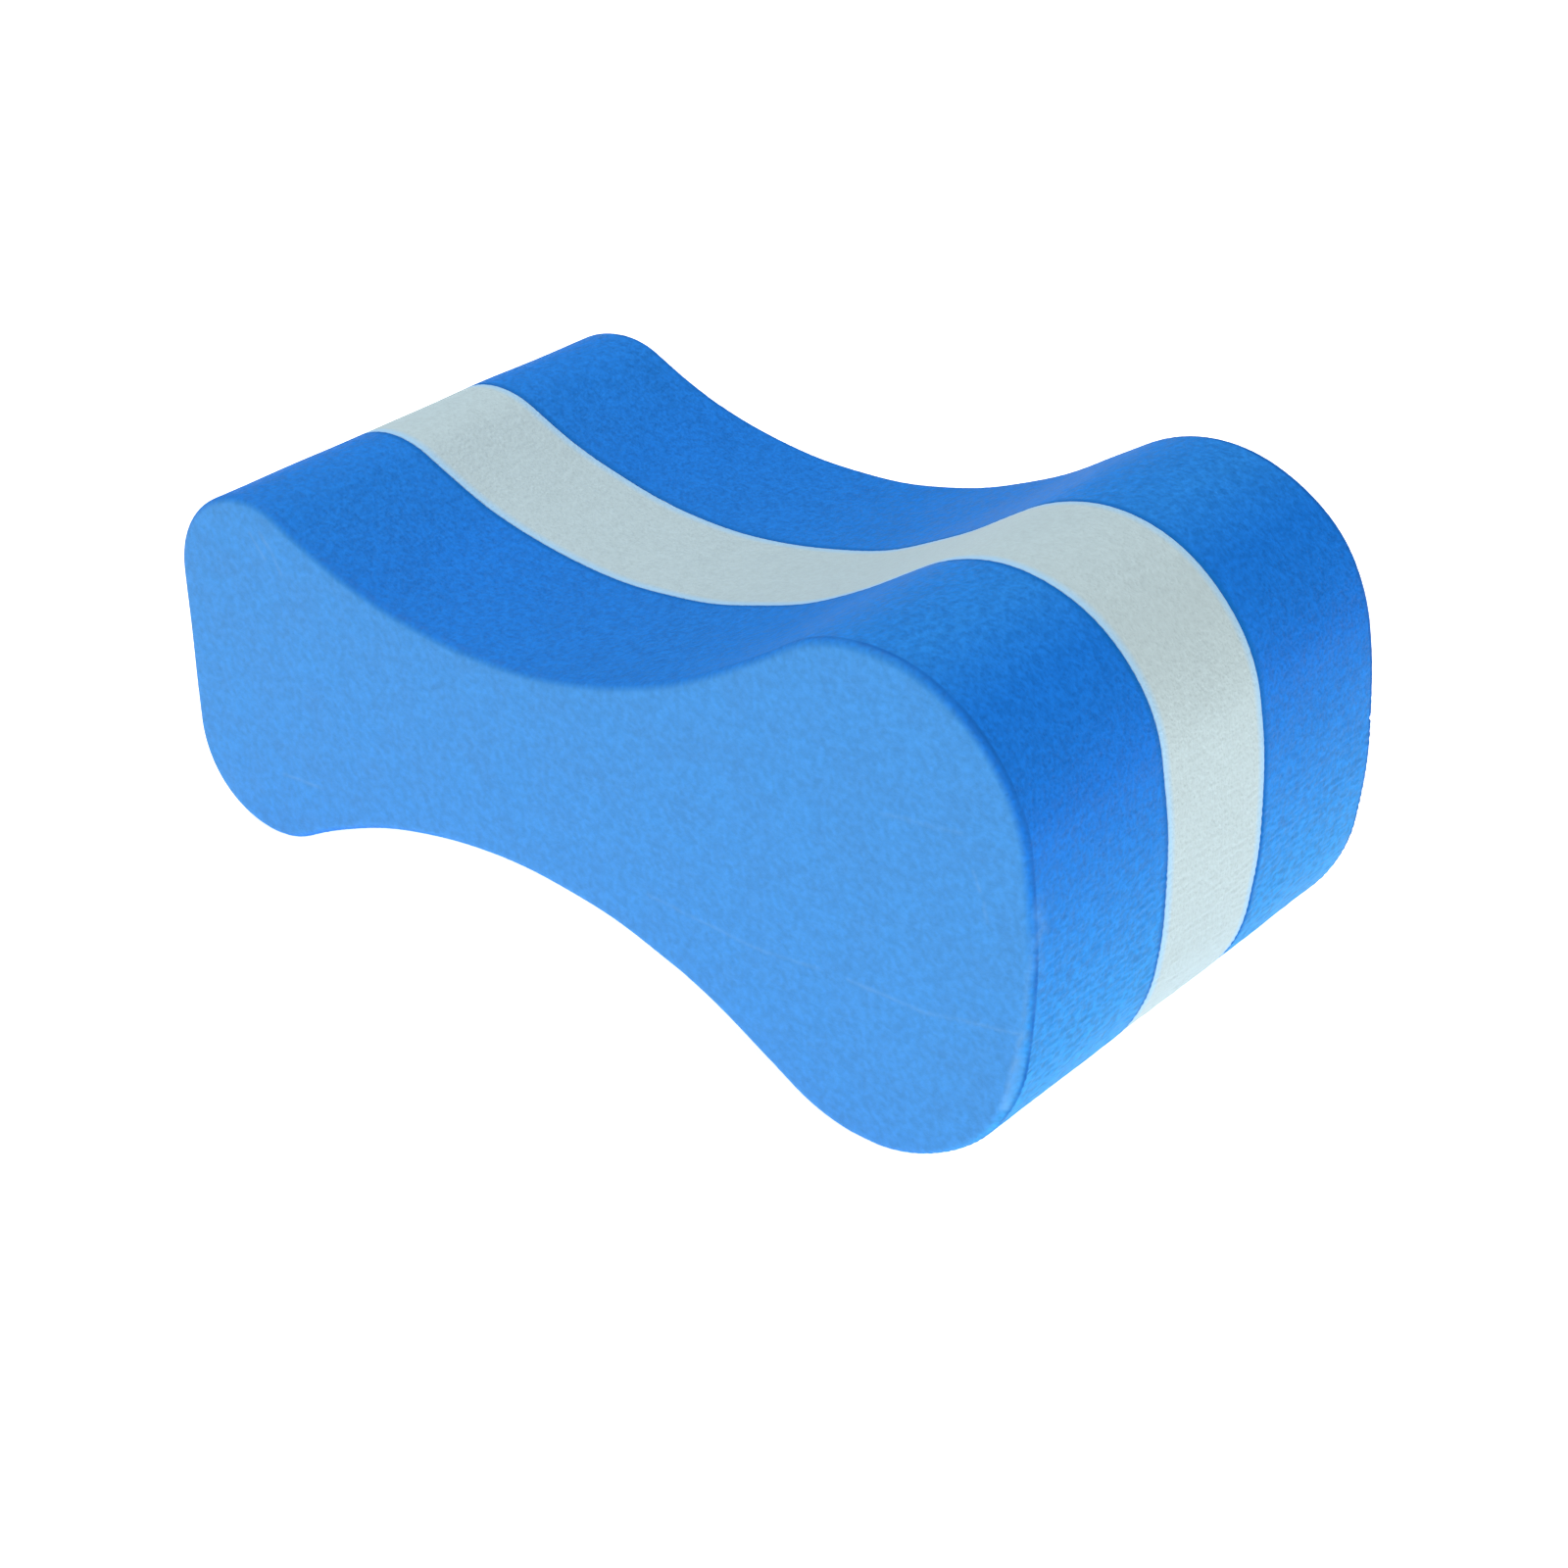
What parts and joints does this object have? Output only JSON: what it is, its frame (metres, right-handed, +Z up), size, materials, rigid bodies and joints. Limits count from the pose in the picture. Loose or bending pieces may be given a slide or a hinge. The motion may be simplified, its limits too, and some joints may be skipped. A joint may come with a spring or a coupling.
{
  "type": "pull buoy",
  "caption": "Hourglass-shaped swimming leg float of three bonded foam slabs, blue, white and blue, with one large lobe, one small lobe and a narrow waist.",
  "frame": {"origin": "on the ground, under the middle of the box around the float as it stands on its two lobes", "axes": "+X along the length towards the large lobe, -Y out of the front face and +Y out of the rear face, +Z up"},
  "size_m": [0.2312, 0.125, 0.1099],
  "materials": {
    "blue_foam": "matte closed-cell EVA foam, fine cut cells on the sides, smooth pressed skin on the large face",
    "white_foam": "matte closed-cell EVA foam with fine cut cells",
    "glue_film": "cured contact adhesive, satin"
  },
  "bodies": {
    "root": {"front_slab": "blue_foam", "front_glue_film": "glue_film", "centre_slab": "white_foam", "rear_glue_film": "glue_film", "rear_slab": "blue_foam"}
  },
  "joints": []
}
